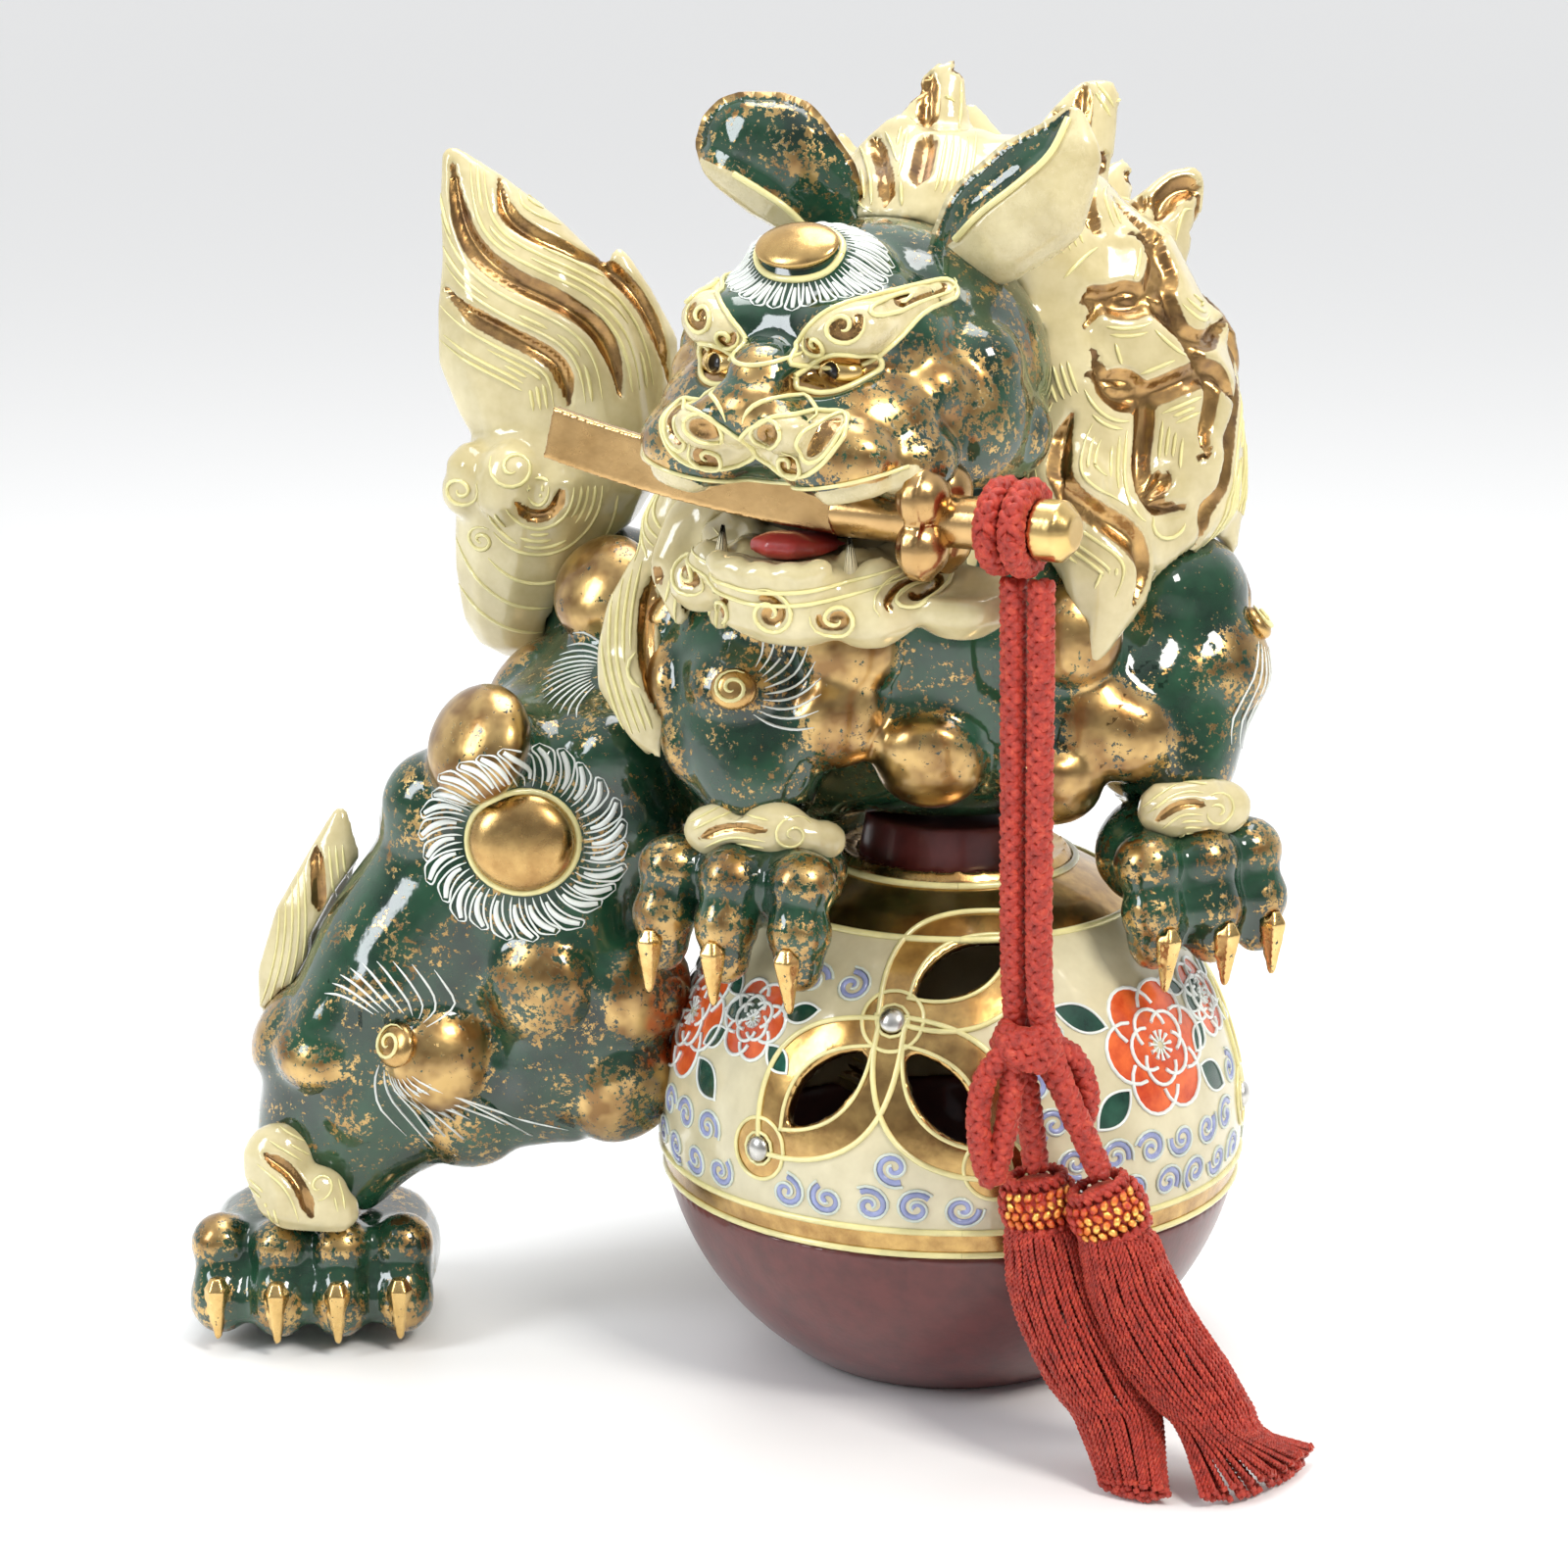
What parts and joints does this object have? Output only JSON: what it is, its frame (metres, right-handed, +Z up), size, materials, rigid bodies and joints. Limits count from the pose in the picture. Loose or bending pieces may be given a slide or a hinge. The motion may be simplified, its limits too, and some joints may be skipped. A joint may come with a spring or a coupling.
{
  "type": "foo dog statue",
  "caption": "Glazed porcelain guardian lion standing with its forepaws on a pierced ball, with a loose curved sword through its open mouth and a red tasselled cord looped on the hilt.",
  "frame": {"origin": "centre of the ball's flat foot, on the surface that the statue stands on", "axes": "+Z up, -Y the way the chest and the ball's front face, +X towards the animal's own left"},
  "size_m": [0.2797, 0.2273, 0.3222],
  "materials": {
    "red_glaze": "satin maroon glaze",
    "cream_glaze_ball": "cream glaze with raised slip lines, scrolls and peonies in enamel",
    "gold_lustre": "gold lustre over glaze",
    "green_glaze": "glossy green-black glaze with flecked gold leaf on the high places",
    "cream_glaze": "glossy cream glaze with thin raised lines and brown-gold grooves",
    "tongue_red": "matte red enamel",
    "sword_gold": "satin bronze-gold lustre",
    "red_cord": "braided and twisted rayon thread"
  },
  "bodies": {
    "statue": {"ball_bowl": "red_glaze", "ball_cover": "cream_glaze_ball", "ball_collar": "gold_lustre", "ball_crown": "red_glaze", "ball_bosses": "gold_lustre", "torso": "green_glaze", "head": "green_glaze", "lower_jaw": "cream_glaze", "tongue": "tongue_red", "teeth": "cream_glaze", "brow_disc": "gold_lustre", "eyes": "gold_lustre", "ear_right": "green_glaze", "ear_left": "cream_glaze", "mane_back": "cream_glaze", "mane_side": "cream_glaze", "mane_crest": "cream_glaze", "mane_cheek_locks": "cream_glaze", "mane_throat_lock": "cream_glaze", "beard": "cream_glaze", "foreleg_right": "green_glaze", "foreleg_left": "green_glaze", "forepaw_right": "green_glaze", "forepaw_left": "green_glaze", "forepaw_claws": "gold_lustre", "wrist_tufts": "cream_glaze", "thigh_right": "green_glaze", "shin_right": "green_glaze", "hindfoot_right": "green_glaze", "thigh_left": "green_glaze", "shin_left": "green_glaze", "hindfoot_left": "green_glaze", "hindfoot_claws": "gold_lustre", "haunch_disc": "gold_lustre", "whorls": "gold_lustre", "hock_flame": "cream_glaze", "ankle_tufts": "cream_glaze", "tail_root": "cream_glaze", "tail_bowl": "cream_glaze", "tail_plume": "cream_glaze", "tail_side_flame": "cream_glaze"},
    "sword": {"sword_blade": "sword_gold", "sword_ferrule": "sword_gold", "sword_guard": "sword_gold", "sword_grip": "sword_gold", "sword_pommel": "sword_gold"},
    "hitch": {"cord_hitch": "red_cord"},
    "cord": {"cord_strand_front": "red_cord", "cord_strand_back": "red_cord", "cord_knot": "red_cord", "tassel_head_front": "red_cord", "tassel_head_back": "red_cord", "tassel_skirt_front": "red_cord", "tassel_skirt_back": "red_cord"}
  },
  "joints": [
    {"name": "sword_draw", "type": "hinge", "parent": "statue", "child": "sword", "pos_m": [-0.00839, -0.07983, 0.656], "axis": [-0.4848, -0.8746, 0], "range_deg": [0, 11]},
    {"name": "hitch_turn", "type": "hinge", "parent": "sword", "child": "hitch", "pos_m": [0.00911, -0.08953, 0.226], "axis": [-0.8746, 0.4848, 0], "range_deg": [0, 20]},
    {"name": "cord_hang", "type": "hinge", "parent": "hitch", "child": "cord", "pos_m": [0.00911, -0.08953, 0.2177], "axis": [-0.4848, -0.8746, 0], "range_deg": [-12, 12]}
  ],
  "couplings": [
    {"joint": "cord_hang", "follows": "sword_draw", "ratio": -1}
  ]
}
